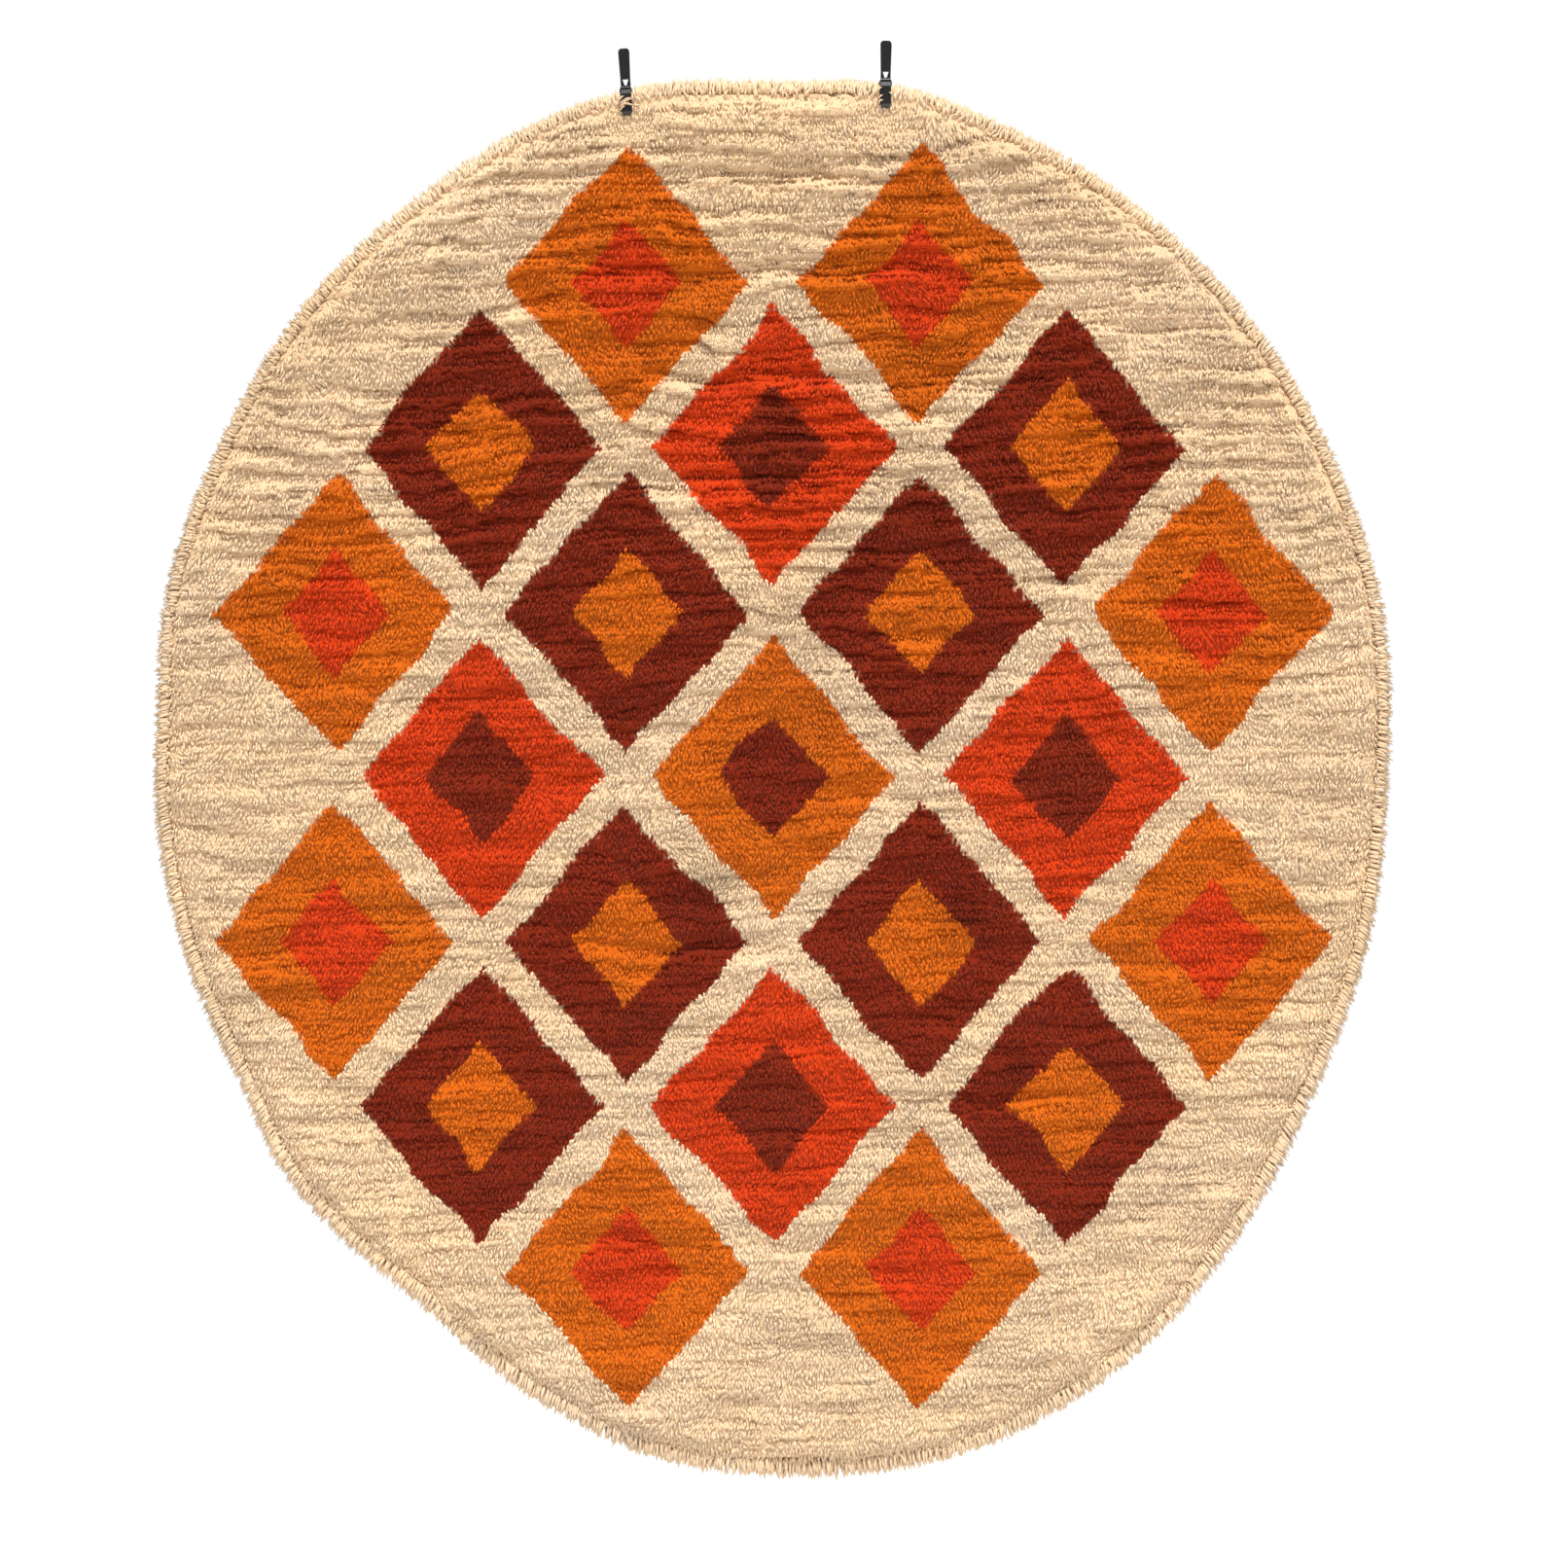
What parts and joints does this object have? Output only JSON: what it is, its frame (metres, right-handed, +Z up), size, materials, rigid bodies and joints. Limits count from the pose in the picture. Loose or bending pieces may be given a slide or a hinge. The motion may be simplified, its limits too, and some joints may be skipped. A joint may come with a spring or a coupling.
{
  "type": "rya rug with hanging clips",
  "caption": "Round long-pile wool rug hanging face-on from spring clips at its top edge, pile lying in creased rows, egg-shaped under its own weight.",
  "frame": {"origin": "midway between the tops of the clips, on the line that the rug hangs from", "axes": "+Z up, the pile faces -Y, +X to the right as seen from the front"},
  "size_m": [1.8914, 0.06, 2.1792],
  "materials": {
    "wool_pile": "long-pile rya wool, cream ground with rust, orange and red-orange motifs",
    "black_clip": "black moulded plastic, slightly worn",
    "dark_steel": "dark coated steel"
  },
  "bodies": {
    "root": {"rug": "wool_pile", "left_clip_hanger": "black_clip", "left_clip_jaw": "black_clip", "left_clip_barrel": "dark_steel", "right_clip_hanger": "black_clip", "right_clip_jaw": "black_clip", "right_clip_barrel": "dark_steel"}
  },
  "joints": []
}
